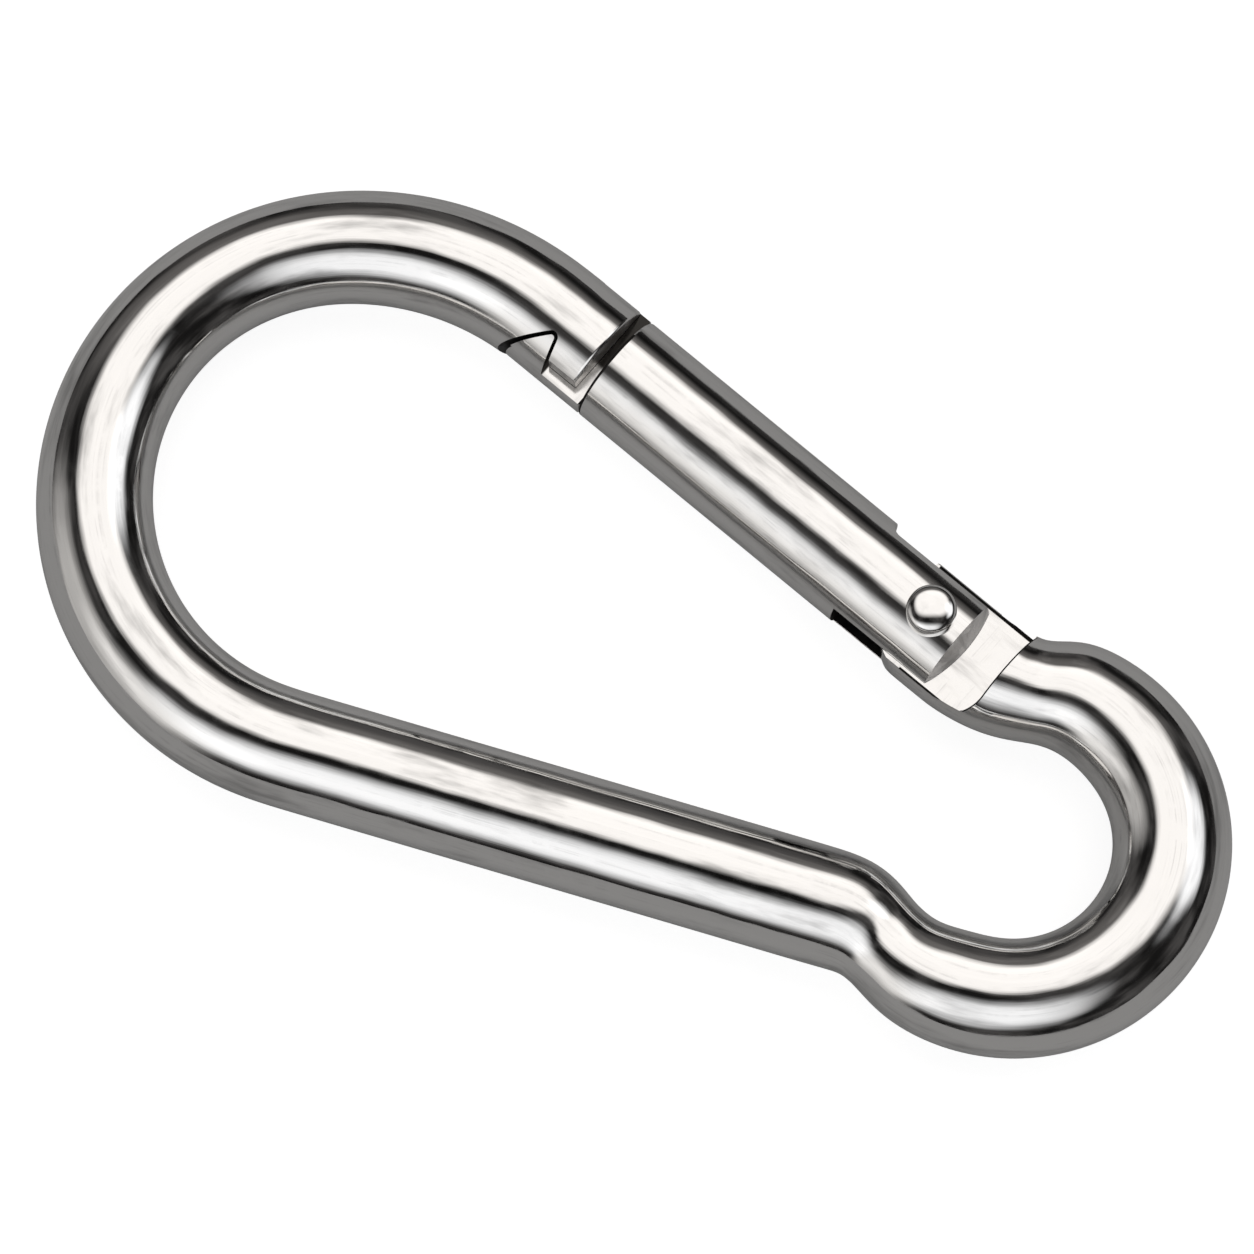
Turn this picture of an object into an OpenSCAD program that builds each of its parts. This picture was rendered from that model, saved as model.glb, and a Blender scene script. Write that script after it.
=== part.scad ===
// Round-rod snap hook: a bent bar with a pear-shaped bow and a small eye, closed by a sprung gate.
// +X runs from the bow to the eye, +Y is the gate side, +Z is across the thickness.
// The origin is the centre of the whole hook's box. Millimetres and degrees.

/* [Bar and bends] */
// Diameter of the round bar
rod_d = 11; // [10:0.1:12]
// Centreline radius of the bow's main bend
bow_r = 24.3; // [22.5:0.1:28]
// Centreline radius of the wider bend that runs into the nose
nose_r = 27.6; // [25.5:0.1:30]
// Angle over which the wider bend runs
nose_turn = 42; // [34:1:48]
// Distance from the bow's centre to the eye's centre
bow_to_eye = 68.3; // [62:0.1:72]
// Centreline radius of the eye
eye_r = 14.8; // [13.8:0.1:17]
// Distance from the eye's centre to each side's axis, which slopes the sides by 11.7 degrees
neck_off = 10.87344; // [10.4:0.1:11.4]
// Radius left inside the tight bend on each side of the eye
crease_r = 1; // [0.7:0.1:2.5]
// Straight length of the nose past its bend
nose_straight = 6.3; // [4:0.1:10]

/* [Gate] */
// Diameter of the gate's bar
gate_d = 10.8; // [10:0.1:11.6]
// Length of the gate past the rivet, at its axis
gate_tail = 4.5; // [4:0.1:5]
// Radius of the domed end of the gate's cheeks
cheek_dome_r = 14; // [10:0.5:20]
// Distance from the rivet to the bottom of the slot between the cheeks
slot_depth = 7.5; // [6.5:0.1:9]
// Height of the flat cut on the gate's outer side, above its axis
relief_y = 4; // [3.6:0.1:4.6]
// Length of that flat, from the rivet towards the nose
relief_length = 7; // [6:0.1:9]
// Corner radius where the flat runs out
relief_r = 1.4; // [1:0.1:1.8]
// Gap between the gate's shoulder and the end of the nose
nose_gap = 1.3; // [0.8:0.1:1.8]
// Chamfer on the rims that face each other across that gap
rim_chamfer = 0.35; // [0.2:0.05:0.6]
// Angle to which the gate opens
gate_open = 40; // [30:1:40]

/* [Latch] */
// Thickness of the web that carries the gate's tooth
web_t = 3; // [2.4:0.1:3.6]
// Length of the web past the gate's shoulder
web_length = 5.8; // [5:0.1:7]
// Clearance of the web in the nose's slot, on each face
web_gap = 0.15; // [0.1:0.05:0.3]
// Distance from the web's end to the bottom of the nose's slot
slot_end_gap = 0.4; // [0.3:0.05:0.6]
// Length of the tooth's back flank along the gate
tooth_back = 3.55; // [3:0.05:4.2]
// Length of the tooth's front flank along the gate
tooth_front = 1.05; // [0.8:0.05:1.3]
// Distance from the shoulder to the foot of the tooth's front flank
shelf_length = 4.3; // [4:0.05:5.4]
// Depth of the tooth's tip below the gate's surface
tooth_depth = 3; // [2.4:0.05:3.4]
// Radius of the tooth's tip
tooth_tip_r = 0.3; // [0.2:0.05:0.45]
// Clearance round the tooth in its notch
tooth_gap = 0.35; // [0.25:0.05:0.5]
// Amount taken off the inner side of the jaw, below the bar's surface
jaw_flat = 1.35; // [1:0.05:1.6]

/* [Hinge] */
// Thickness of the tongue between the cheeks
tongue_t = 4.2; // [3.6:0.1:4.6]
// Clearance of the tongue in the gate's slot, on each face
cheek_gap = 0.1; // [0.05:0.05:0.2]
// Distance from the eye's centre back to the rivet, along the gate's axis
rivet_setback = 18.9; // [18.2:0.1:21]
// Distance from the rivet to the shoulder where the bar is full again
shoulder_x = 8.5; // [8:0.1:9.5]
// Radius of the cutter's corner at that shoulder
shoulder_r = 2.7; // [2:0.1:3]
// Distance from the rivet to the tongue's outer end corner
tongue_end = 3; // [2.6:0.1:3.2]
// Radius of that corner
tongue_corner_r = 1.2; // [0.8:0.1:1.6]
// Radius of the cam on the tongue's end
cam_r = 4; // [3.7:0.1:4.3]
// Distance of the cam's centre from the rivet
cam_offset = 1.7; // [1.3:0.05:1.75]
// Diameter of the rivet's shank
rivet_d = 3.2; // [2.6:0.1:3.6]
// Clearance of the shank in the tongue, on the radius
pivot_gap = 0.05; // [0.02:0.01:0.1]
// Diameter of the rivet's heads
head_d = 4.7; // [4.2:0.1:5.2]
// Height of a rivet head's dome above the gate's surface
head_h = 1.75; // [1.3:0.05:2.1]
// Height of the straight rim below the dome
head_rim = 0.25; // [0.15:0.05:0.4]

/* [Spring] */
// Diameter of the plunger
plunger_d = 3.8; // [3.6:0.1:3.9]
// Length of the plunger
plunger_length = 9; // [7:0.5:11]
// Chamfer on the plunger's face
plunger_chamfer = 0.1; // [0.05:0.05:0.15]
// Clearance of the plunger in the gate's bore, on the radius
plunger_gap = 0.06; // [0.03:0.01:0.1]
// Running gap between the cam and the plunger's face
cam_gap = 0.03; // [0.02:0.01:0.05]
// Wire diameter of the spring
wire_d = 0.6; // [0.4:0.05:0.8]
// Clearance of the spring in the bore, on the radius
spring_gap = 0.2; // [0.15:0.05:0.3]
// Length of the fitted spring
spring_length = 14; // [11:0.5:17]
// Working turns of the spring
spring_turns = 8; // [6:1:10]
// Closed turns at each end of the spring
end_turns = 1.5; // [1:0.5:2]

/* [Hidden] */
$fn = 96;
steel = [0.80, 0.80, 0.81];
bright = [0.88, 0.88, 0.89];
wire_grey = [0.62, 0.63, 0.66];
cut = 2 * rod_d;          // reach of cutting shapes past the bar
tip_steps = 8;            // flats round the tooth's tip
coil_steps = 12;          // lengths to each turn of the spring
wire_sides = 6;           // flats round its wire
weld_height = 0.02;       // height of the ridges that close the bar's joints, above the bar
weld_depth = 0.1;         // depth of their roots below the bar's surface
weld_half = 0.3;          // half their length
rod_rad = rod_d / 2;
gate_rad = gate_d / 2;

// Bar centreline, with the eye's centre at [0, 0].
gate_side_off = nose_r - (nose_r - bow_r) * cos(nose_turn);   // bow's centre to the gate's axis
side_slope = asin(((bow_r + gate_side_off) / 2 - neck_off) / bow_to_eye);   // each side to the X axis
joggle_r = rod_rad + crease_r;                                // tight bends beside the eye
bow_c = [-bow_to_eye, (bow_r - gate_side_off) / (2 * cos(side_slope))];
blend_a = 90 - side_slope + nose_turn;                        // where the two bow bends meet
nose_c = bow_c - (nose_r - bow_r) * [cos(blend_a), sin(blend_a)];
joggle_turn = acos((neck_off + joggle_r) / (eye_r + joggle_r));
joggle_x = -(eye_r + joggle_r) * sin(joggle_turn);            // start of a joggle along its side
back_x = bow_c * [cos(side_slope), sin(side_slope)];          // start of the straight back
nose_x = nose_c * [cos(side_slope), -sin(side_slope)];        // end of the nose's bend
box_centre = [
    (eye_r - bow_to_eye - bow_r) / 2,
    (nose_c[1] + nose_r + bow_c[1] - bow_r) / 2
];

// Places along the gate's axis, measured from the rivet.
bend_end = nose_x + rivet_setback;
nose_end = bend_end + nose_straight;
gate_reach = -nose_end - nose_gap;                            // to the gate's round shoulder
web_reach = gate_reach + web_length;                          // to the web's rounded end
joggle_start = joggle_x + rivet_setback;

// Tooth outline in the gate's plan: back corner, tip and front corner, inner side at -Y.
tooth_front_x = -gate_reach - shelf_length;
tooth_tip = [tooth_front_x - tooth_front, tooth_depth - gate_rad];
tooth = [tooth_tip - [tooth_back, tooth_depth], tooth_tip, [tooth_front_x, -gate_rad]];

// Cam centre with the gate shut, and the plunger's face against it.
cam_mid = gate_open / 2;
cam_c = cam_offset * [sin(cam_mid), -cos(cam_mid)];
plunger_face = cam_c[0] - cam_r - cam_gap;
bore_rad = plunger_d / 2 + plunger_gap;
spring_start = plunger_face - plunger_length;
coil_r = bore_rad - spring_gap - wire_d / 2;
close_pitch = 1.05 * wire_d;                                  // between closed turns
open_length = spring_length - wire_d - 2 * end_turns * close_pitch;   // taken by working turns

function unit(v) = v / norm(v);
function left_of(v) = [-v[1], v[0]];
// Where the line through p along u meets the line through q along v.
function meet(p, u, q, v) = p + u * cross(q - p, v) / cross(u, v);
// Centre of a circle of radius r that touches both flanks of the outline o from inside.
function tip_centre(o, r) =
    let (u = unit(o[1] - o[0]), v = unit(o[2] - o[1]))
    meet(o[0] - r * left_of(u), u, o[1] - r * left_of(v), v);

// The frame of one side: origin beside the eye's centre, +X to the eye. gate = 1, back = -1.
module on_side(side) {
    translate([-box_centre[0], -box_centre[1], 0])
        rotate(-side * side_slope)
            translate([0, side * neck_off, 0])
                children();
}

// The gate's own frame: rivet at the origin, +X to the eye, +Y to the outside of the hook.
module on_gate() {
    on_side(1) translate([-rivet_setback, 0, 0]) children();
}

// A round bar along +X from x0 to x1.
module bar(x0, x1, d) {
    translate([x0, 0, 0]) rotate([0, 90, 0]) cylinder(d = d, h = x1 - x0);
}

// The same bar with a bevelled rim at its x1 end.
module turned_bar(x0, x1, d, chamfer) {
    outline = [
        [0, x0],
        [d / 2, x0],
        [d / 2, x1 - chamfer],
        [d / 2 - chamfer, x1],
        [0, x1]
    ];
    rotate([0, 90, 0]) rotate_extrude() polygon(outline);
}

// A bend of the bar about centre c with centreline radius r, from angle a0 over a sweep.
module bend(c, r, a0, sweep) {
    translate(c) rotate(a0) rotate_extrude(angle = sweep) translate([r, 0]) circle(d = rod_d);
}

// A disc with a low ridge round it, over the joint of two lengths that only touch.
module weld(x) {
    outline = [
        [0, -weld_half],
        [rod_rad - weld_depth, -weld_half],
        [rod_rad + weld_height, 0],
        [rod_rad - weld_depth, weld_half],
        [0, weld_half]
    ];
    translate([x, 0, 0]) rotate([0, 90, 0]) rotate_extrude() polygon(outline);
}

// The same disc where a bend about centre c ends, at angle a.
module bend_weld(c, r, a) {
    translate(c) rotate(a) translate([r, 0, 0]) rotate(90) weld(0);
}

// A block between two corners of the plan and two heights.
module block(x0, x1, y0, y1, z0, z1) {
    translate([x0, y0, z0]) cube([x1 - x0, y1 - y0, z1 - z0]);
}

// The tooth's outline grown by a gap, with a round tip: the tooth itself, or its notch.
module tooth_prism(gap) {
    centre = tip_centre(tooth, tooth_tip_r);
    r = tooth_tip_r + gap;
    back = unit(tooth[1] - tooth[0]);
    front = unit(tooth[2] - tooth[1]);
    back_touch = centre + r * left_of(back);
    front_touch = centre + r * left_of(front);
    back_a = atan2(left_of(back)[1], left_of(back)[0]);
    front_a = atan2(left_of(front)[1], left_of(front)[0]);
    foot_y = -max(rod_rad, gate_rad) - gap;
    tip_arc = [
        for (i = [0:tip_steps])
            let (a = back_a + (front_a - back_a) * i / tip_steps)
            centre + r * [cos(a), sin(a)]
    ];
    outline = concat(
        [back_touch - back * (back_touch[1] - foot_y) / back[1]],
        tip_arc,
        [front_touch - front * (front_touch[1] - foot_y) / front[1]]
    );
    translate([0, 0, -rod_d]) linear_extrude(2 * rod_d) polygon(outline);
}

// A slab of the latch that ends in a round about the rivet, so that it swings clear.
module web_slab(reach, thickness, x1) {
    intersection() {
        translate([0, 0, -thickness / 2]) cylinder(r = reach, h = thickness, $fn = 200);
        block(-reach - cut, x1, -rod_d, rod_d, -rod_d, rod_d);
    }
}

// The straight end of the nose, with a bevelled rim.
module nose() {
    turned_bar(bend_end, nose_end, rod_d, rim_chamfer);
}

// What the latch takes out of the nose: the tooth's notch, the web's slot and the jaw's flat.
module latch_cuts() {
    tooth_prism(tooth_gap);
    web_slab(web_reach + slot_end_gap, web_t + 2 * web_gap, nose_end + nose_gap / 2);
    block(tooth_front_x - tooth_gap, nose_end + cut, -cut, jaw_flat - rod_rad, -rod_d, rod_d);
}

// The bar's other end in plan: an outer corner, and the cam that works the plunger.
module tongue() {
    side_y = rod_rad - tongue_corner_r;
    corner_x = tongue_corner_r - tongue_end;
    intersection() {
        bar(-cut, joggle_start, rod_d);
        union() {
            block(corner_x, cut, 0, rod_d, -rod_d, rod_d);
            block(-tongue_end, cut, 0, side_y, -rod_d, rod_d);
            block(cam_c[0], cut, -rod_d, 0, -rod_d, rod_d);
            translate([corner_x, side_y, -rod_d]) cylinder(r = tongue_corner_r, h = 2 * rod_d);
            translate([cam_c[0], cam_c[1], -rod_d]) cylinder(r = cam_r, h = 2 * rod_d);
        }
    }
}

// What is milled off the upper face to leave the tongue, up to a shoulder with a round corner.
module tongue_cut() {
    corner_x = shoulder_x - shoulder_r;
    corner_y = shoulder_r - rod_rad;
    translate([0, 0, tongue_t / 2]) {
        block(-cut, corner_x, -rod_d, rod_d, 0, rod_d);
        block(-cut, shoulder_x, corner_y, rod_d, 0, rod_d);
        translate([corner_x, corner_y, 0]) cylinder(r = shoulder_r, h = rod_d);
    }
}

// The tight bend that takes one side of the bar out to the eye.
module joggle(side) {
    start_a = side > 0 ? -90 : 90 - joggle_turn;
    on_side(side) bend([joggle_x, side * joggle_r], joggle_r, start_a, joggle_turn);
}

module hook_body() {
    eye_start = side_slope - 90 - joggle_turn;
    color(steel)
    difference() {
        union() {
            on_gate() {
                nose();
                weld(bend_end);
                tongue();
            }
            translate([-box_centre[0], -box_centre[1], 0]) {
                bend(nose_c, nose_r, 90 - side_slope, nose_turn);
                bend(bow_c, bow_r, blend_a, 270 + side_slope - blend_a);
                bend([0, 0], eye_r, eye_start, -2 * eye_start);
                bend_weld(bow_c, bow_r, blend_a);
                bend_weld([0, 0], eye_r, eye_start);
                bend_weld([0, 0], eye_r, -eye_start);
            }
            on_side(-1) {
                bar(back_x, joggle_x, rod_d);
                weld(back_x);
            }
            for (side = [-1, 1]) {
                joggle(side);
                on_side(side) weld(joggle_x);
            }
        }
        on_gate() {
            latch_cuts();
            tongue_cut();
            mirror([0, 0, 1]) tongue_cut();
            translate([0, 0, -rod_d]) cylinder(d = rivet_d + 2 * pivot_gap, h = 2 * rod_d);
        }
    }
}

// The gate's bar, turned from past the tooth to the domed ends of the cheeks.
module gate_bar() {
    start = tooth[0][0] - rod_d;
    rotate([0, 90, 0])
        rotate_extrude()
            difference() {
                translate([0, start]) square([gate_rad, gate_tail - start]);
                difference() {
                    square(cut);
                    translate([0, gate_tail - cheek_dome_r]) circle(r = cheek_dome_r);
                }
            }
}

// What is milled off that bar past its shoulder, round the web and the tooth.
module head_cuts() {
    difference() {
        block(-gate_reach - 2 * cut, -gate_reach, -cut, cut, -cut, cut);
        web_slab(web_reach, web_t, -slot_depth);
        tooth_prism(0);
    }
}

// The bevel on the round shoulder, which leaves the web whole.
module shoulder_bevel() {
    bevel = [
        [gate_rad, rim_chamfer - gate_reach],
        [gate_rad - rim_chamfer, -gate_reach],
        [gate_rad - rim_chamfer, -gate_reach - rim_chamfer],
        [rod_d, -gate_reach - rim_chamfer],
        [rod_d, rim_chamfer - gate_reach]
    ];
    difference() {
        rotate([0, 90, 0]) rotate_extrude() polygon(bevel);
        block(-gate_reach - cut, 0, -cut, cut, -web_t / 2, web_t / 2);
    }
}

module gate() {
    slot_h = tongue_t + 2 * cheek_gap;
    color(steel)
    on_gate()
    difference() {
        gate_bar();
        head_cuts();
        shoulder_bevel();
        block(-slot_depth, cut, -rod_d, rod_d, -slot_h / 2, slot_h / 2);
        block(-relief_length, cut, relief_y, rod_d, -rod_d, rod_d);
        translate([-relief_length, relief_y + relief_r, -rod_d])
            cylinder(r = relief_r, h = 2 * rod_d);
        bar(spring_start - spring_length, plunger_face + cam_gap, 2 * bore_rad);
        translate([0, 0, -rod_d]) cylinder(d = rivet_d, h = 2 * rod_d);
    }
}

// One rivet head: a dome on a short rim, closed down onto the gate's round surface.
module rivet_head() {
    rim_top = gate_rad + head_rim;
    dome_h = head_h - head_rim;
    dome_r = (head_d * head_d / 4 + dome_h * dome_h) / (2 * dome_h);
    difference() {
        union() {
            cylinder(d = head_d, h = rim_top);
            intersection() {
                translate([0, 0, rim_top + dome_h - dome_r]) sphere(r = dome_r);
                translate([0, 0, gate_rad]) cylinder(d = head_d, h = head_h);
            }
        }
        bar(-cut, cut, gate_d);
    }
}

module hinge_rivet() {
    color(bright)
    on_gate() {
        translate([0, 0, -gate_rad - head_rim]) cylinder(d = rivet_d, h = gate_d + 2 * head_rim);
        rivet_head();
        mirror([0, 0, 1]) rivet_head();
    }
}

module plunger() {
    color(bright)
    on_gate() turned_bar(spring_start, plunger_face, plunger_d, plunger_chamfer);
}

// The coil's centreline at turn n: close end turns, and working turns spread between them.
function coil_x(n) =
    let (worked = max(0, min(spring_turns, n - end_turns)))
    let (closed = min(n, end_turns) + max(0, n - end_turns - spring_turns))
    closed * close_pitch + worked * open_length / spring_turns;

module gate_spring() {
    last = coil_steps * (spring_turns + 2 * end_turns);
    points = [
        for (i = [0:last], j = [0:wire_sides - 1])
            let (a = 360 * i / coil_steps, b = 360 * j / wire_sides, r = coil_r + wire_d / 2 * cos(b))
            [-coil_x(i / coil_steps) - wire_d / 2 + wire_d / 2 * sin(b), r * cos(a), r * sin(a)]
    ];
    walls = [
        for (i = [0:last - 1], j = [0:wire_sides - 1])
            let (k = (j + 1) % wire_sides)
            [i * wire_sides + j, i * wire_sides + k, (i + 1) * wire_sides + k, (i + 1) * wire_sides + j]
    ];
    first_cap = [for (j = [0:wire_sides - 1]) wire_sides - 1 - j];
    last_cap = [for (j = [0:wire_sides - 1]) last * wire_sides + j];
    color(wire_grey)
    on_gate()
        translate([spring_start, 0, 0])
            polyhedron(points, concat([first_cap], walls, [last_cap]), convexity = 10);
}

hook_body();
gate();
hinge_rivet();
plunger();
gate_spring();
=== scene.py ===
"""A round-rod snap hook in polished stainless steel, lying flat: bent bar, sprung gate, rivet."""

import bpy
import numpy as np
from mathutils import Matrix


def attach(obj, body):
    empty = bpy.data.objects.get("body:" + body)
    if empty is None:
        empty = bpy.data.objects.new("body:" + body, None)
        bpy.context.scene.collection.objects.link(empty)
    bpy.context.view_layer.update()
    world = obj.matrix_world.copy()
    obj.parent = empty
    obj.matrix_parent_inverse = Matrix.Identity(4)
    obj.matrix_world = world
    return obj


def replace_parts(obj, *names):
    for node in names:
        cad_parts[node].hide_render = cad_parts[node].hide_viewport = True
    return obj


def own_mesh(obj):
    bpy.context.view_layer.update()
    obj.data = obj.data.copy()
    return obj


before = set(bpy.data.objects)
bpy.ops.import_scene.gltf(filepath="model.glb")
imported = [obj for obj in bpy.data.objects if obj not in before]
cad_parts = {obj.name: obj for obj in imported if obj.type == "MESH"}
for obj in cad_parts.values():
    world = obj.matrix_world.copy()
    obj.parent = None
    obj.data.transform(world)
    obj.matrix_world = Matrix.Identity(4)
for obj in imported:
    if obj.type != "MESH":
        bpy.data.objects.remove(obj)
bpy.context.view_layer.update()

# ---------------------------------------------------------------------------
# The bent bar: one length of round stainless rod, bent cold into a wide bow, a straight back and
# a small eye, then tumbled and polished. Its two ends stay straight, and are cut and milled in
# the sections that follow.
# ---------------------------------------------------------------------------

MM = 0.001
ROUND_SIDES = 112

# The bar's radius, the radii of its bends along the middle line, the length of its back, and
# the slope of its sides and two of its turns in degrees.
ROD = 5.5 * MM
BOW, NOSE_BEND, EYE, JOGGLE = 24.3 * MM, 27.6 * MM, 14.8 * MM, 6.5 * MM
BACK_LENGTH = 54.646 * MM
SLOPE, NOSE_TURN, JOGGLE_TURN = 11.7, 42.0, 35.348

# The rivet's centre, the gate's axis towards the eye, and the outward side of it.
RIVET = np.array([0.0225977, 0.0146876])
ALONG = np.array([np.cos(np.radians(SLOPE)), -np.sin(np.radians(SLOPE))])
OUTWARD = np.array([-ALONG[1], ALONG[0]])

# Along that axis: the sawn end of the nose, the end of its bend, and both ends of the hinge side.
NOSE_END, BEND_END = -39.385 * MM, -45.685 * MM
TONGUE_END, JOGGLE_START = -6.0 * MM, 6.577 * MM

# Sawn ends have a rim rounded over 60 degrees: how far along each of its rings lies, and how
# far in.
RIM = 0.3 * MM
rim_arc = np.radians([30, 45, 60, 75, 90])
rim_run = RIM * (np.cos(rim_arc[0]) - np.cos(rim_arc))
rim_drop = RIM * (1 - np.sin(rim_arc))


def corners(*pairs):
    """Plan points given in millimetres."""
    return np.array(pairs) * MM


def on_gate(plan):
    """Points given along and outward of the gate's axis, from the rivet, as plan points."""
    plan = np.asarray(plan, float)
    return RIVET + plan[..., :1] * ALONG + plan[..., 1:2] * OUTWARD


def mesh_object(name, points, faces, flow=None):
    """A mesh object at the origin from arrays of points and faces, with smooth faces.

    flow holds, for each point, how far it lies along and around the piece in metres. It is
    kept as the UV map "flow", so that a finish can run with the metal.
    """
    mesh = bpy.data.meshes.new(name)
    mesh.from_pydata(np.asarray(points, float).tolist(), [], faces)
    if flow is not None:
        corner = np.empty(len(mesh.loops), np.int32)
        mesh.loops.foreach_get("vertex_index", corner)
        layer = mesh.uv_layers.new(name="flow")
        layer.data.foreach_set("uv", np.asarray(flow, np.float32)[corner].ravel())
    mesh.polygons.foreach_set("use_smooth", np.ones(len(mesh.polygons), bool))
    mesh.update()
    piece = bpy.data.objects.new(name, mesh)
    bpy.context.scene.collection.objects.link(piece)
    return piece


def tube_faces(rows, sides):
    """Quads between neighbouring rings of one closed tube, and a flat cap on each end."""
    r, c = np.meshgrid(np.arange(rows - 1), np.arange(sides), indexing="ij")
    a, b = r * sides + c, r * sides + (c + 1) % sides
    walls = np.stack([a, b, b + sides, a + sides], -1).reshape(-1, 4)
    last = (rows - 1) * sides
    return walls.tolist() + [list(range(sides))[::-1], list(range(last, last + sides))]


def bent_centreline(start, heading, lengths, curvatures, step, blur):
    """The line a bar follows through straights and bends, as points, headings and distances.

    Each length has one curvature, 1 / radius, or 0 for a straight, so the heading is a chain of
    ramps. No bend starts at once, so the heading is the mean of that chain over a bell curve of
    width blur, and the points are the sum of short moves along the heading at their middles.
    """
    ends = np.concatenate([[0], np.cumsum(lengths)])
    ramps = heading + np.concatenate([[0], np.cumsum(np.multiply(lengths, curvatures))])
    run = np.concatenate([rim_run, np.arange(RIM, ends[-1], step), ends[-1:]])
    spread = np.linspace(-3, 3, 25)
    share = np.exp(-(spread**2) / 2)

    def blurred(at):
        """The mean heading about each distance."""
        return np.interp(at[:, None] + blur * spread, ends, ramps) @ share / share.sum()

    middle = blurred((run[1:] + run[:-1]) / 2)
    moves = np.diff(run)[:, None] * np.stack([np.cos(middle), np.sin(middle)], 1)
    points = start + np.concatenate([np.zeros((1, 2)), np.cumsum(moves, 0)])
    return points, blurred(run), run


def round_bar(name, points, turned, run, radius, sides):
    """A round bar carried along a plan line.

    A point at angle a of ring i is line[i] + radius[i] (cos a side[i] + sin a up), where side
    is the heading turned a quarter to the left and up is +Z.
    """
    a = np.linspace(0, 2 * np.pi, sides, endpoint=False)
    side = np.stack([-np.sin(turned), np.cos(turned)], 1)
    plan = points[:, None] + (radius[:, None] * np.cos(a))[..., None] * side[:, None]
    height = radius[:, None] * np.sin(a)
    grid = np.concatenate([plan, height[..., None]], -1)
    flow = np.stack(np.broadcast_arrays(run[:, None], a * ROD), -1)
    return mesh_object(name, grid.reshape(-1, 3), tube_faces(len(points), sides), flow.reshape(-1, 2))


nose_turn, joggle_turn, slope = np.radians([NOSE_TURN, JOGGLE_TURN, SLOPE])
bow_turn = np.pi + 2 * slope - nose_turn
eye_turn = np.pi - 2 * slope + 2 * joggle_turn
bar_lengths = [
    NOSE_END - BEND_END,
    NOSE_BEND * nose_turn,
    BOW * bow_turn,
    BACK_LENGTH,
    JOGGLE * joggle_turn,
    EYE * eye_turn,
    JOGGLE * joggle_turn,
    JOGGLE_START - TONGUE_END,
]
bar_bends = [0, 1 / NOSE_BEND, 1 / BOW, 0, -1 / JOGGLE, 1 / EYE, -1 / JOGGLE, 0]
line, headings, run = bent_centreline(
    on_gate([NOSE_END, 0]), np.pi - slope, bar_lengths, bar_bends, 0.45 * MM, 1.8 * MM
)


def drawn_in(centre, before, after):
    """A smooth rise and fall along the bar, 1 at its centre, with a reach on each side of it."""
    reach = np.where(run < centre * MM, before, after) * MM
    return np.exp(-(((run - centre * MM) / reach) ** 2))


# Bending draws the bar in: inside the bow and inside both tight bends, and outside them where
# the eye starts. The back and the hinge's tongue sit a little inwards. All in millimetres.
shifted = 0.2 * drawn_in(150, 50, 50)
inside = 0.74 * drawn_in(40, 20, 20) + 1.2 * drawn_in(154, 3, 5) + 0.45 * drawn_in(209.5, 6, 5)
inside -= 0.3 * drawn_in(219, 3, 60) + shifted
outside = 0.4 * drawn_in(154, 4, 3) + 0.9 * drawn_in(211.3, 2.4, 2.4) + 0.55 * drawn_in(217, 3, 60)
outside += shifted
bar_radius = ROD - (inside + outside) / 2 * MM
bar_radius[: len(rim_drop)] -= rim_drop
outer_side = np.stack([np.sin(headings), -np.cos(headings)], 1)
line += ((inside - outside) / 2 * MM)[:, None] * outer_side
bar = round_bar("hook_bar", line, headings, run, bar_radius, ROUND_SIDES)

# ---------------------------------------------------------------------------
# The finish: bright polished stainless on the round surfaces, with faint drawing marks that
# run along the bar, soft smudges and a few fine scratches. Milled faces are flatter and
# finer-grained, with parallel marks left by the cutter.
# ---------------------------------------------------------------------------

STEEL = (0.80, 0.79, 0.775)


def node(tree, kind, at=None, **settings):
    """A new node with its settings and, by socket name or number, its plain input values."""
    made = tree.nodes.new(kind)
    for key, value in settings.items():
        setattr(made, key, value)
    for key, value in (at or {}).items():
        made.inputs[key].default_value = value
    return made


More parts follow.
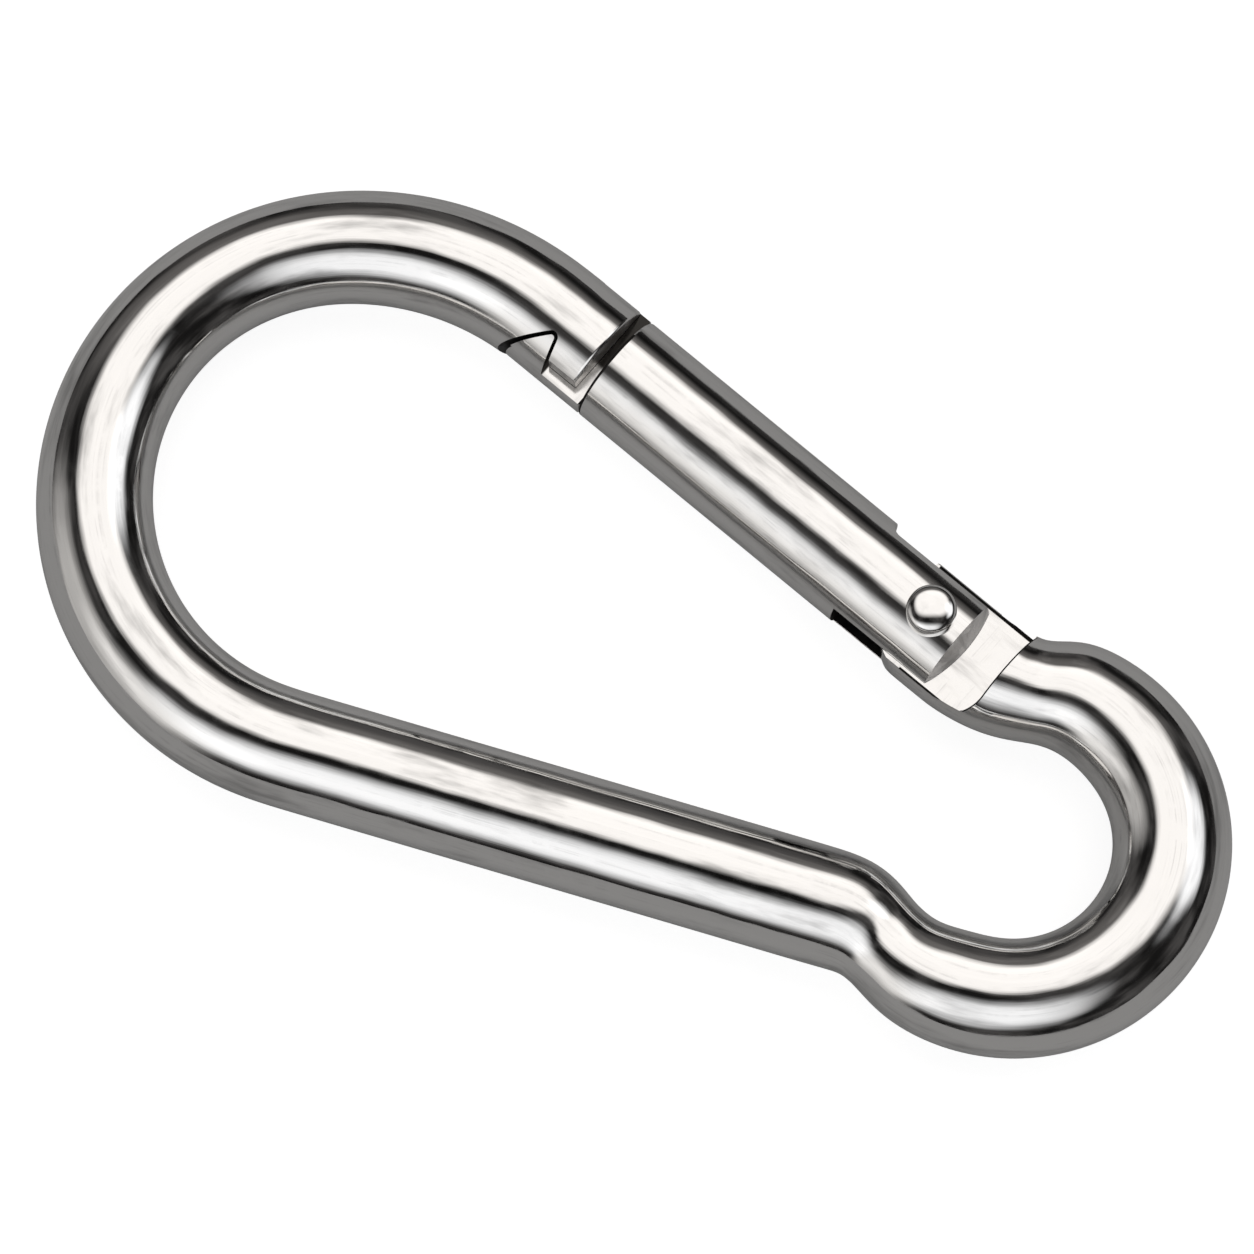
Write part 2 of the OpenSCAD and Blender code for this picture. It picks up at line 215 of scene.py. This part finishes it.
def steel_finish(name, colour, lines, draws, depth, roughness, waviness, shade_limits=None):
    """Polished steel whose marks are noise stretched along the flow, so that they run with the
    metal.

    lines and draws are the marks' scales along and around, in waves per metre, for the fine
    lines and the broader ones, and depth the height of each in metres. waviness is the height of
    the slow dents under them. The last argument, if given, holds two limits of the flow, along and
    outward, past which the steel is painted dark: painted shade where a part lies under or between
    others.
    """
    material = bpy.data.materials.new(name)
    material.use_nodes = True
    tree = material.node_tree
    link = tree.links.new
    shader = tree.nodes["Principled BSDF"]
    shader.inputs["Metallic"].default_value = 1.0
    flow = node(tree, "ShaderNodeUVMap", uv_map="flow")
    place = node(tree, "ShaderNodeTexCoord")

    def noise(source, scale, detail):
        """Noise on a source, stretched by a scale on each axis."""
        scaled = node(tree, "ShaderNodeMapping", {"Scale": scale})
        link(source, scaled.inputs["Vector"])
        made = node(tree, "ShaderNodeTexNoise", {"Scale": 1.0, "Detail": detail, "Roughness": 0.6})
        link(scaled.outputs["Vector"], made.inputs["Vector"])
        return made.outputs["Fac"]

    def ranged(value, low, high, to_low, to_high):
        """A value taken from one range to another with soft ends."""
        limits = {"From Min": low, "From Max": high, "To Min": to_low, "To Max": to_high}
        made = node(tree, "ShaderNodeMapRange", limits, interpolation_type="SMOOTHSTEP")
        link(value, made.inputs["Value"])
        return made.outputs["Result"]

    def product(a, b):
        """Two values multiplied."""
        made = node(tree, "ShaderNodeMath", operation="MULTIPLY")
        link(a, made.inputs[0])
        link(b, made.inputs[1])
        return made.outputs["Value"]

    fine = noise(flow.outputs["UV"], lines, 2.0)
    broad = noise(flow.outputs["UV"], draws, 2.0)
    dents = noise(place.outputs["Object"], (170, 170, 170), 1.0)
    smudge = noise(place.outputs["Object"], (380, 380, 380), 4.0)
    cloud = noise(flow.outputs["UV"], (60, 330, 1), 4.0)
    link(ranged(smudge, 0.35, 0.75, roughness, roughness * 2.5), shader.inputs["Roughness"])
    scored = product(ranged(fine, 0.5, 0.78, 0, 0.5), ranged(smudge, 0.38, 0.62, 0, 1))
    worn = node(tree, "ShaderNodeMath", operation="MAXIMUM")
    link(scored, worn.inputs[0])
    link(ranged(cloud, 0.5, 0.74, 0, 1), worn.inputs[1])
    shade = node(tree, "ShaderNodeMix", data_type="RGBA")
    shade.inputs["A"].default_value = colour + (1,)
    shade.inputs["B"].default_value = tuple(0.54 * c for c in colour) + (1,)
    link(worn.outputs["Value"], shade.inputs["Factor"])
    tint = shade.outputs["Result"]
    if shade_limits:
        parts = node(tree, "ShaderNodeSeparateXYZ")
        link(flow.outputs["UV"], parts.inputs["Vector"])
        along = ranged(parts.outputs["X"], shade_limits[0] - 0.0001, shade_limits[0] + 0.0001, 1, 0)
        outward = ranged(parts.outputs["Y"], shade_limits[1] - 0.0003, shade_limits[1] + 0.0003, 0, 1)
        shade_mask = node(tree, "ShaderNodeMath", operation="MAXIMUM")
        link(along, shade_mask.inputs[0])
        link(outward, shade_mask.inputs[1])
        # Painted shade: past those limits the colour goes to near black.
        dark = node(tree, "ShaderNodeMix", data_type="RGBA")
        link(shade_mask.outputs["Value"], dark.inputs["Factor"])
        link(tint, dark.inputs["A"])
        dark.inputs["B"].default_value = (0.03, 0.028, 0.026, 1)
        tint = dark.outputs["Result"]
    link(tint, shader.inputs["Base Color"])
    normal = None
    for height, distance in ((dents, waviness), (broad, depth[1]), (fine, depth[0])):
        bump = node(tree, "ShaderNodeBump", {"Strength": 1.0, "Distance": distance})
        link(height, bump.inputs["Height"])
        if normal:
            link(normal, bump.inputs["Normal"])
        normal = bump.outputs["Normal"]
    link(normal, shader.inputs["Normal"])
    return material


drawn_marks = ((38, 2400, 1), (70, 560, 1), (0.004 * MM, 0.018 * MM))
cutter_marks = ((2200, 90, 1), (300, 300, 1), (0.002 * MM, 0.004 * MM))
even_grain = ((900, 900, 1), (300, 300, 1), (0.003 * MM, 0.006 * MM))
faint_grain = ((900, 900, 1), (300, 300, 1), (0.002 * MM, 0.004 * MM))
polished = steel_finish("polished_steel", STEEL, *drawn_marks, 0.05, 0.08 * MM)
milled = steel_finish("milled_steel", STEEL, *cutter_marks, 0.10, 0.03 * MM)
sawn = steel_finish("sawn_steel", (0.62, 0.60, 0.58), *even_grain, 0.3, 0.03 * MM)
# Painted shade: the faces cut inside the notch, the slot and between the cheeks are painted near
# black, standing in for the shadow in those narrow recesses.
recess_shade = steel_finish("recess_shade_steel", (0.02, 0.019, 0.018), *faint_grain, 0.35, 0.02 * MM)

# Painted shade: a dark, unpolished paint that stands in for the shadow along seams, edge flats and
# corners.
edge_shade = steel_finish("painted_edge_shade", (0.015, 0.014, 0.013), *even_grain, 0.4, 0.02 * MM)
edge_shade_shader = edge_shade.node_tree.nodes["Principled BSDF"]
edge_shade_shader.inputs["Metallic"].default_value = 0.0
edge_shade_shader.inputs["Specular IOR Level"].default_value = 0.1

# The nose's sawn end is duller than the bar.
bar.data.materials.append(polished)
bar.data.materials.append(sawn)
end_faces = np.zeros(len(bar.data.polygons), np.int32)
end_faces[-2] = 1
bar.data.polygons.foreach_set("material_index", end_faces)

# ---------------------------------------------------------------------------
# The bar's two ends: the nose is notched for the gate's tooth and slotted for its web, and the
# hinge end is milled on both faces to a tongue with a shoulder and a round cam. Each cut is a
# prism through the bar, drawn in the plan along and outward of the gate's axis.
# ---------------------------------------------------------------------------

# The tooth's corners, the radius of its tip, its gap in the notch, and how far its web reaches
# from the rivet.
TOOTH = corners((-46.985, -5.4), (-43.5, -2.05), (-42.7, -5.4))
TOOTH_TIP = 0.3 * MM
TOOTH_GAP = 0.35 * MM
WEB_REACH = 43.885 * MM

# Heights from the middle of the bar: the slot's walls, the tongue's faces, and clear of the bar.
SLOT = 1.65 * MM
TONGUE = 2.1 * MM
THROUGH = 8 * MM

# How far along the bar its last straight begins.
LAST_STRAIGHT = 205 * MM


def arc(centre, radius, start, end, steps=24):
    """Points on a circle from one angle to another, in degrees."""
    a = np.radians(np.linspace(start, end, steps + 1))
    return np.array(centre) + radius * np.stack([np.cos(a), np.sin(a)], 1)


def prism(name, outline, low, high, finish):
    """A prism on a plan outline between two heights, with its walls and both ends closed.

    The outline is turned to run anticlockwise, by the sign of its shoelace area, so that every
    face points outwards. Its flow is the plan position itself.
    """
    outline = np.asarray(outline, float)
    x, y = outline.T
    if np.sum(x * np.roll(y, -1) - y * np.roll(x, -1)) < 0:
        outline = outline[::-1]
    n = len(outline)
    plan = on_gate(outline)
    points = np.concatenate([np.c_[plan, np.full(n, low)], np.c_[plan, np.full(n, high)]])
    i = np.arange(n)
    walls = np.stack([i, (i + 1) % n, (i + 1) % n + n, i + n], 1).tolist()
    faces = walls + [i[::-1].tolist(), (i + n).tolist()]
    piece = mesh_object(name, points, faces, np.concatenate([outline, outline]))
    piece.data.materials.append(finish)
    return piece


def cut(piece, *cutters):
    """Takes the cutters' solids out of a piece, keeps their finish on the cut faces, and marks
    every edge sharper than 25 degrees as a crisp one."""
    for cutter in cutters:
        change = piece.modifiers.new("cut", "BOOLEAN")
        change.operation = "DIFFERENCE"
        change.solver = "EXACT"
        change.material_mode = "TRANSFER"
        change.object = cutter
    bpy.context.view_layer.update()
    shaped = bpy.data.meshes.new_from_object(
        piece.evaluated_get(bpy.context.evaluated_depsgraph_get())
    )
    piece.modifiers.clear()
    piece.data = shaped
    shaped.set_sharp_from_angle(angle=np.radians(25))
    for cutter in cutters:
        bpy.data.objects.remove(cutter)
    return piece


def tooth_outline(gap):
    """The tooth's two flanks moved out by a gap, joined by a round tip, down past the bar.

    The tip's circle touches both flanks, so its centre lies where the flanks, each moved in by
    the tip's radius, cross.
    """
    flanks = np.diff(TOOTH, axis=0)
    flanks /= np.linalg.norm(flanks, axis=1, keepdims=True)
    left = np.stack([-flanks[:, 1], flanks[:, 0]], 1)
    system = np.stack([flanks[0], -flanks[1]], 1)
    shift = np.linalg.solve(system, TOOTH_TIP * (left[0] - left[1]))
    centre = TOOTH[1] - TOOTH_TIP * left[0] + shift[0] * flanks[0]
    r = TOOTH_TIP + gap
    turn = np.degrees(np.arctan2(left[:, 1], left[:, 0]))
    tip = arc(centre, r, turn[0], turn[1], 10)
    foot = -7 * MM
    start = tip[0] - flanks[0] * (tip[0, 1] - foot) / flanks[0, 1]
    end = tip[-1] - flanks[1] * (tip[-1, 1] - foot) / flanks[1, 1]
    return np.concatenate([[start], tip, [end]])


# The slot ends in an arc about the rivet, 0.4 mm past the web's own end.
web_half = np.degrees(np.arcsin(6.5 / 44.3))
slot_end = arc((0, 0), WEB_REACH + 0.4 * MM, 180 - web_half, 180 + web_half, 60)
slot = np.concatenate([slot_end, corners((-38.7, -6.5), (-38.7, 6.5))])

# In front of the notch the nose's inner side is filed flat, so that the tooth passes it.
jaw_flat = corners((-43.05, -9), (-36, -9), (-36, -4.15), (-43.05, -4.15))


def shoulder_outline(grown):
    """The plan of what is milled away beside the tongue, up to a shoulder with a round corner."""
    corner = arc((5.8 * MM, -2.8 * MM), 2.7 * MM + grown, 0, -90)
    over, under = corners((-14, 9), (8.5, 9)), corners((5.8, -9), (-14, -9))
    over[1, 0] += grown
    return np.concatenate([over, corner, under])


tongue_end = np.concatenate(
    [
        corners((-14, 9), (-1.8, 9)),
        arc((-1.8 * MM, 4.3 * MM), 1.2 * MM, 90, 180, 10),
        corners((-3, 0)),
        arc((0.5814 * MM, -1.5975 * MM), 4 * MM, 156.5, 270, 40),
        corners((0.5814, -9), (-14, -9)),
    ]
)


def edge_break(name, start, end, outward, height, half, finish):
    """A square bar on edge along the gate's axis, which cuts a sloping flat along an edge."""
    ends = corners((start, outward), (end, outward))
    piece = round_bar(name, on_gate(ends), np.full(2, -slope), ends[:, 0], np.full(2, half), 4)
    piece.data.transform(Matrix.Translation((0, 0, height)))
    piece.data.materials.append(finish)
    return piece


def shoulder_line(name, low, high):
    """A shallow rebate round the shoulder's edge painted as shade: a grown prism less the bar's core.
    """
    near = run > LAST_STRAIGHT
    inner = bar_radius[near] - 0.12 * MM
    core = round_bar("core", line[near], headings[near], run[near], inner, ROUND_SIDES)
    core.data.materials.append(edge_shade)
    return cut(prism(name, shoulder_outline(0.15 * MM), low, high, edge_shade), core)


cutters = [
    prism("notch", tooth_outline(TOOTH_GAP), -THROUGH, THROUGH, recess_shade),
    prism("slot", slot, -SLOT, SLOT, recess_shade),
    prism("jaw", jaw_flat, -THROUGH, THROUGH, sawn),
    prism("tongue_end", tongue_end, -8.5 * MM, 8.5 * MM, milled),
]
for side in (-1, 1):
    above = sorted((side * (TONGUE + 0.1 * MM), side * THROUGH))
    cutters.append(shoulder_line("shoulder_edge", *above))
    beside = sorted((side * TONGUE, side * THROUGH))
    cutters.append(prism("tongue_face", shoulder_outline(0), *beside, milled))
    # The flats breaking the tongue's edges are painted dark: a painted shade line along each edge.
    cutters.append(edge_break("outer_edge", -2.6, 8.4, 4.5, side * TONGUE, 0.2 * MM, edge_shade))
    cutters.append(edge_break("inner_edge", 0.7, 5.9, -5.35, side * TONGUE, 0.16 * MM, edge_shade))

# Beside the shoulder the tongue's outer side is filed straight on.
filed = corners((4.5, 4.7), (8.42, 4.7), (8.42, 8), (4.5, 8))
cutters.append(prism("filed_side", filed, -TONGUE, TONGUE, milled))
cut(bar, *cutters)
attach(bar, "hook")
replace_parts(bar, "hook_body")

# ---------------------------------------------------------------------------
# The gate: a straight round bar that closes the hook. Its hinge end is slotted into two cheeks
# with domed ends, and a flat is milled on its outer side so that it can swing in.
# ---------------------------------------------------------------------------

GATE = 5.4 * MM
SHOULDER = -38.085 * MM

# Half the gap between the cheeks, and the radius of the bore for the plunger.
CHEEK_GAP = 2.2 * MM
BORE = 1.96 * MM


def turned_bar(name, stations, radii, sides, finish):
    """A bar turned about the gate's axis: rings of the given radii at the given stations."""
    stations, radii = np.asarray(stations, float), np.asarray(radii, float)
    plan = on_gate(np.c_[stations, np.zeros(len(stations))])
    headings = np.full(len(stations), -np.radians(SLOPE))
    piece = round_bar(name, plan, headings, stations, radii, sides)
    piece.data.materials.append(finish)
    return piece


# The bar ends in a dome of 14 mm radius, whose crown is 4.5 mm past the rivet.
DOME = 14 * MM
dome_r = np.linspace(GATE, 0.02 * MM, 28)
dome_x = 4.5 * MM - DOME + np.sqrt(DOME**2 - dome_r**2)
straight = np.linspace(SHOULDER + RIM, dome_x[0] - 0.3 * MM, 90)
stations = np.concatenate([SHOULDER + rim_run, straight, dome_x])
radii = np.concatenate([GATE - rim_drop, np.full(90, GATE), dome_r])
gate_bar = turned_bar("gate_bar", stations, radii, ROUND_SIDES, polished)

# The dome is turned and left dull, and the rim at the shoulder's inner side is painted dark as shade.
cheek_steel = steel_finish("cheek_steel", (0.9, 0.88, 0.86), *even_grain, 0.5, 0.03 * MM)
gate_bar.data.materials.append(cheek_steel)
gate_bar.data.materials.append(edge_shade)
faces = np.array([face.center[:2] for face in gate_bar.data.polygons]) - RIVET
on_rim = np.arange(len(faces)) < (len(rim_run) - 1) * ROUND_SIDES
finish_of = np.where(faces @ ALONG > dome_x[0], 1, 0)
finish_of[on_rim & (faces @ OUTWARD < 2.5 * MM)] = 2
gate_bar.data.polygons.foreach_set("material_index", finish_of.astype(np.int32))

cheek_slot = corners((-7.5, -8), (9, -8), (9, 8), (-7.5, 8))
relief_end = arc((-7 * MM, 5.42 * MM), 1.42 * MM, 270, 180, 16)
relief = np.concatenate([corners((9, 8), (9, 4)), relief_end, corners((-8.42, 8))])
bore = turned_bar("bore", np.array([-26.5, -6.5]) * MM, np.full(2, BORE), 48, milled)
# The cut between the cheeks is painted near black: painted shade in the slot.
cut(
    gate_bar,
    prism("cheeks", cheek_slot, -CHEEK_GAP, CHEEK_GAP, recess_shade),
    prism("relief", relief, -THROUGH, THROUGH, milled),
    bore,
    edge_break("cheek_lip", -7.5, 5, -4.93, -CHEEK_GAP, 0.09 * MM, cheek_steel),
)
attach(gate_bar, "gate")
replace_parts(gate_bar, "gate")

# The web and its cross tooth, left standing at the gate's nose end by two milled faces. Under
# the nose, and out past the middle of the gap, its faces are painted dark as shade.
WEB = 1.5 * MM
GROOVE_FLOOR = 1.38 * MM
web_shade_limits = (-42.6 * MM, -1.2 * MM)
web_steel = steel_finish("web_steel", STEEL, *cutter_marks, 0.10, 0.03 * MM, web_shade_limits)
web_rings = np.linspace(-49, -37.7, 40) * MM
web_radii = np.where(web_rings > SHOULDER, GATE - RIM, GATE - 0.003 * MM)
web = turned_bar("gate_web", web_rings, web_radii, ROUND_SIDES, polished)
tooth = tooth_outline(0)
outside = np.concatenate([corners((-51, -7)), tooth, corners((-37, -7), (-37, 7), (-51, 7))])
web_end = arc((0, 0), WEB_REACH, 183.54, 170, 60)
beyond = np.concatenate([corners((-51, -7)), tooth[:1], web_end, corners((-51, 7))])

# A shallow groove at the web's foot, its faces painted dark as the shadow in the shoulder's corner.
shoulder = SHOULDER / MM
groove = shoulder - 0.18
foot = corners((groove, -7), (shoulder, -7), (shoulder, -1), (groove, -1))
cut(
    web,
    prism("web_over", outside, WEB, THROUGH, web_steel),
    prism("web_under", outside, -THROUGH, -WEB, web_steel),
    prism("web_end", beyond, -2 * MM, 2 * MM, web_steel),
    prism("foot_over", foot, GROOVE_FLOOR, THROUGH, edge_shade),
    prism("foot_under", foot, -THROUGH, -GROOVE_FLOOR, edge_shade),
)
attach(web, "gate")

# ---------------------------------------------------------------------------
# The hinge rivet: a stainless pin through cheeks and tongue, with a domed head closed down on
# each face of the gate.
# ---------------------------------------------------------------------------

HEAD, HEAD_TOP = 2.35 * MM, 7.15 * MM

# The dome's slope grows evenly over its middle and steeply at its edge: at a share u of the
# radius it is 84 degrees times (0.28 u + 0.72 u^9).
share = np.sin(np.linspace(np.pi / 2, 0.01, 36))
middle = (share[1:] + share[:-1]) / 2
fall = np.tan(np.radians(84) * (0.28 * middle + 0.72 * middle**9)) * -np.diff(share) * HEAD
crown_z = HEAD_TOP - np.concatenate([np.cumsum(fall[::-1])[::-1], [0]])
profile_r = np.concatenate([[HEAD - 0.15 * MM, HEAD], HEAD * share])
profile_z = np.concatenate([[4.6 * MM, 4.75 * MM], crown_z])
rivet_finish = steel_finish(
    "turned_steel", STEEL, (400, 400, 1), (500, 500, 1), (0.001 * MM, 0.003 * MM), 0.05, 0.03 * MM
)


def rivet_head(name, side):
    """A profile of radius and height turned about the rivet's axis; side is 1 above, -1 below."""
    sides = 72
    a = side * np.linspace(0, 2 * np.pi, sides, endpoint=False)
    ring = np.stack([np.cos(a), np.sin(a)], -1)
    plan = on_gate(profile_r[:, None, None] * ring)
    height = np.broadcast_to(side * profile_z[:, None, None], plan.shape[:2] + (1,))
    points = np.concatenate([plan, height], -1).reshape(-1, 3)
    piece = mesh_object(name, points, tube_faces(len(profile_r), sides), points[:, :2])
    piece.data.set_sharp_from_angle(angle=np.radians(35))
    piece.data.materials.append(rivet_finish)
    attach(piece, "gate")
    return piece


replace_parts(rivet_head("rivet_head_over", 1), "hinge_rivet")
rivet_head("rivet_head_under", -1)

# ---------------------------------------------------------------------------
# The plunger and its spring: a turned steel pin in the gate's bore, pressed on the tongue's cam
# by a coil of spring wire. They show only through the slot between the cheeks.
# ---------------------------------------------------------------------------

PLUNGER_FACE, PLUNGER_FOOT = -3.4486 * MM, -12.4486 * MM
COIL, WIRE = 1.46 * MM, 0.3 * MM
WORKING_TURNS, END_TURNS = 8, 1.5
CLOSED_PITCH, OPEN_LENGTH = 0.63 * MM, 11.51 * MM

pin_x = [PLUNGER_FOOT, PLUNGER_FACE - 0.1 * MM, PLUNGER_FACE]
pin = turned_bar("plunger_pin", pin_x, np.array([1.9, 1.9, 1.8]) * MM, 64, milled)
pin.data.set_sharp_from_angle(angle=np.radians(25))
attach(pin, "plunger")
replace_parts(pin, "plunger")


def coil_spring(name, steps, sides):
    """A tube along a helix on the gate's axis, with close turns at both ends.

    At turn n the wire's middle lies at radius COIL and turned by 2 pi n. It has gone along by
    CLOSED_PITCH for each closed turn and by OPEN_LENGTH / WORKING_TURNS for each working one. A
    point at angle b of the wire is WIRE cos b farther out and WIRE sin b farther back.
    """
    turns = WORKING_TURNS + 2 * END_TURNS
    n = np.linspace(0, turns, int(steps * turns) + 1)[:, None]
    b = np.linspace(0, 2 * np.pi, sides, endpoint=False)
    worked = np.clip(n - END_TURNS, 0, WORKING_TURNS)
    gone = (n - worked) * CLOSED_PITCH + worked * OPEN_LENGTH / WORKING_TURNS
    radius = COIL + WIRE * np.cos(b)
    along = PLUNGER_FOOT - WIRE - gone - WIRE * np.sin(b)
    plan = on_gate(np.stack([along, radius * np.cos(2 * np.pi * n)], -1))
    points = np.concatenate([plan, (radius * np.sin(2 * np.pi * n))[..., None]], -1)
    flow = np.stack(np.broadcast_arrays(n * 2 * np.pi * COIL, b * WIRE), -1)
    return mesh_object(name, points.reshape(-1, 3), tube_faces(len(n), sides), flow.reshape(-1, 2))


wire_marks = ((60, 3000, 1), (200, 900, 1), (0.002 * MM, 0.004 * MM))
spring_finish = steel_finish("spring_wire", (0.56, 0.57, 0.60), *wire_marks, 0.22, 0.01 * MM)
spring = coil_spring("coil", 24, 12)
spring.data.materials.append(spring_finish)
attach(spring, "gate")
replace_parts(spring, "gate_spring")
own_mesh(spring)

# ---------------------------------------------------------------------------
# The stage: a plain pale floor under the hook, seen mid grey by the steel, a dim studio hung with
# soft cards that the steel mirrors, and the camera.
# ---------------------------------------------------------------------------

VIEW_TURN, TILT = np.radians(28.641), np.radians(14.3)
right = np.array([np.cos(VIEW_TURN), np.sin(VIEW_TURN), 0])
flat_up = np.array([-np.sin(VIEW_TURN), np.cos(VIEW_TURN), 0])
up = flat_up * np.cos(TILT) + np.array([0, 0, np.sin(TILT)])
back = -flat_up * np.sin(TILT) + np.array([0, 0, np.cos(TILT)])

floor_z = -HEAD_TOP - 0.1 * MM
floor_corners = [(-3, -3, floor_z), (3, -3, floor_z), (3, 3, floor_z), (-3, 3, floor_z)]
floor = mesh_object("floor", floor_corners, [(0, 1, 2, 3)])

# The floor glows almost white to the eye. Steel sees its grey paint and little of that glow, and
# the paint still takes the hook's shadow.
GLOW, GLOW_IN_STEEL = 0.85, 0.03
floor_paint = bpy.data.materials.new("floor_paint")
floor_paint.use_nodes = True
tree = floor_paint.node_tree
paint = tree.nodes["Principled BSDF"]
paint.inputs["Base Color"].default_value = (0.43, 0.43, 0.43, 1)
paint.inputs["Roughness"].default_value = 1.0
paint.inputs["Specular IOR Level"].default_value = 0.0
lightpath = node(tree, "ShaderNodeLightPath")
dim = node(tree, "ShaderNodeMath", {1: GLOW_IN_STEEL}, operation="MULTIPLY")
tree.links.new(lightpath.outputs["Is Glossy Ray"], dim.inputs[0])
clear = node(tree, "ShaderNodeMath", operation="ADD")
tree.links.new(lightpath.outputs["Is Camera Ray"], clear.inputs[0])
tree.links.new(lightpath.outputs["Is Transmission Ray"], clear.inputs[1])
both = node(tree, "ShaderNodeMath", operation="ADD")
tree.links.new(clear.outputs["Value"], both.inputs[0])
tree.links.new(dim.outputs["Value"], both.inputs[1])
level = node(tree, "ShaderNodeMath", {1: GLOW}, operation="MULTIPLY")
tree.links.new(both.outputs["Value"], level.inputs[0])
paint.inputs["Emission Color"].default_value = (1, 1, 1, 1)
tree.links.new(level.outputs["Value"], paint.inputs["Emission Strength"])
floor.data.materials.append(floor_paint)

world = bpy.data.worlds.new("studio")
bpy.context.scene.world = world
world.use_nodes = True
tree = world.node_tree
background = tree.nodes["Background"]
direction = node(tree, "ShaderNodeTexCoord")


def math(kind, a, b=0.0):
    """One arithmetic node on two values, each a socket or a number."""
    made = tree.nodes.new("ShaderNodeMath")
    made.operation = kind
    for socket, value in zip(made.inputs, (a, b)):
        if isinstance(value, (int, float)):
            socket.default_value = value
        else:
            tree.links.new(value, socket)
    return made.outputs[0]


def toward(axis):
    """How far the looked-at direction points along an axis."""
    made = node(tree, "ShaderNodeVectorMath", operation="DOT_PRODUCT")
    tree.links.new(direction.outputs["Generated"], made.inputs[0])
    made.inputs[1].default_value = tuple(axis)
    return made.outputs["Value"]


def soft_card(sideways, upwards, half_wide, half_high, edge, colour, strength):
    """A soft-edged card hung far off, its centre at two angles from the camera's axis.

    On the plane one away from the hook, the card is |x / wide|^3 + |y / high|^3 < 1, and its
    light falls off smoothly over its edge. All angles are in degrees.
    """
    sx, sy = np.radians([sideways, upwards])
    centre = back * np.cos(sx) * np.cos(sy) + right * np.sin(sx) * np.cos(sy) + up * np.sin(sy)
    a = np.cross(up, centre)
    a /= np.linalg.norm(a)
    b = np.cross(centre, a)
    wide, high = np.tan(np.radians([half_wide, half_high]))
    depth = math("MAXIMUM", toward(centre), 0.001)
    x = math("DIVIDE", math("ABSOLUTE", math("DIVIDE", toward(a), depth)), float(wide))
    y = math("DIVIDE", math("ABSOLUTE", math("DIVIDE", toward(b), depth)), float(high))
    size = math("POWER", math("ADD", math("POWER", x, 3.0), math("POWER", y, 3.0)), 1 / 3)
    limits = {"From Min": 1.0 - edge, "From Max": 1.0 + edge, "To Min": strength, "To Max": 0.0}
    fade = node(tree, "ShaderNodeMapRange", limits, interpolation_type="SMOOTHSTEP")
    tree.links.new(size, fade.inputs["Value"])
    tint = node(tree, "ShaderNodeVectorMath", {0: colour}, operation="SCALE")
    tree.links.new(fade.outputs["Result"], tint.inputs["Scale"])
    return tint.outputs["Vector"]


cards = [
    soft_card(3, 38.5, 33, 27, 0.27, (1.0, 0.975, 0.955), 1.2),
    soft_card(-11, -33, 30, 22, 0.6, (0.97, 0.98, 1.0), 1.15),
    soft_card(50, 18, 15, 15, 0.5, (0.97, 0.98, 1.0), 1.3),
    soft_card(-72, -12, 22, 32, 0.5, (1.0, 0.98, 0.96), 0.5),
    soft_card(-50, -22, 18, 18, 0.6, (1.0, 0.99, 0.98), 0.45),
    soft_card(-12, 70, 40, 16, 0.6, (1.0, 0.95, 0.92), 0.12),
]

# Between the cards the room is dim and uneven.
room = node(tree, "ShaderNodeTexNoise", {"Scale": 2.6, "Detail": 3.0, "Roughness": 0.55})
tree.links.new(direction.outputs["Generated"], room.inputs["Vector"])
dim_range = {"From Min": 0.4, "From Max": 0.7, "To Min": 0.01, "To Max": 0.075}
dusk = node(tree, "ShaderNodeMapRange", dim_range, interpolation_type="SMOOTHSTEP")
tree.links.new(room.outputs["Fac"], dusk.inputs["Value"])
walls = node(tree, "ShaderNodeVectorMath", {0: (1.0, 0.96, 0.95)}, operation="SCALE")
tree.links.new(dusk.outputs["Result"], walls.inputs["Scale"])
total = walls.outputs["Vector"]
for card in cards:
    add = node(tree, "ShaderNodeVectorMath", operation="ADD")
    tree.links.new(total, add.inputs[0])
    tree.links.new(card, add.inputs[1])
    total = add.outputs["Vector"]

# The camera, and anything clear, sees plain white in place of the studio.
path = node(tree, "ShaderNodeLightPath")
seen = node(tree, "ShaderNodeMix", data_type="RGBA")
straight_on = math("MAXIMUM", path.outputs["Is Camera Ray"], path.outputs["Is Transmission Ray"])
tree.links.new(straight_on, seen.inputs["Factor"])
tree.links.new(total, seen.inputs["A"])
seen.inputs["B"].default_value = (1, 1, 1, 1)
tree.links.new(seen.outputs["Result"], background.inputs["Color"])
bpy.context.scene.view_settings.view_transform = "Standard"

# The camera stands 1.2 m off and takes in a width of 115.7 mm at the hook.
VIEW_WIDTH, DISTANCE, SENSOR = 115.7 * MM, 1.2, 36
lens = bpy.data.cameras.new("camera")
lens.sensor_width = SENSOR
lens.lens = SENSOR * DISTANCE / VIEW_WIDTH
lens.clip_start, lens.clip_end = 0.05, 20
camera = bpy.data.objects.new("camera", lens)
bpy.context.scene.collection.objects.link(camera)
target = np.array([-1.88, 1.20, 0]) * MM
pose = np.c_[right, up, back, target + back * DISTANCE]
camera.matrix_world = Matrix(np.vstack([pose, [0, 0, 0, 1]]).tolist())
bpy.context.scene.camera = camera
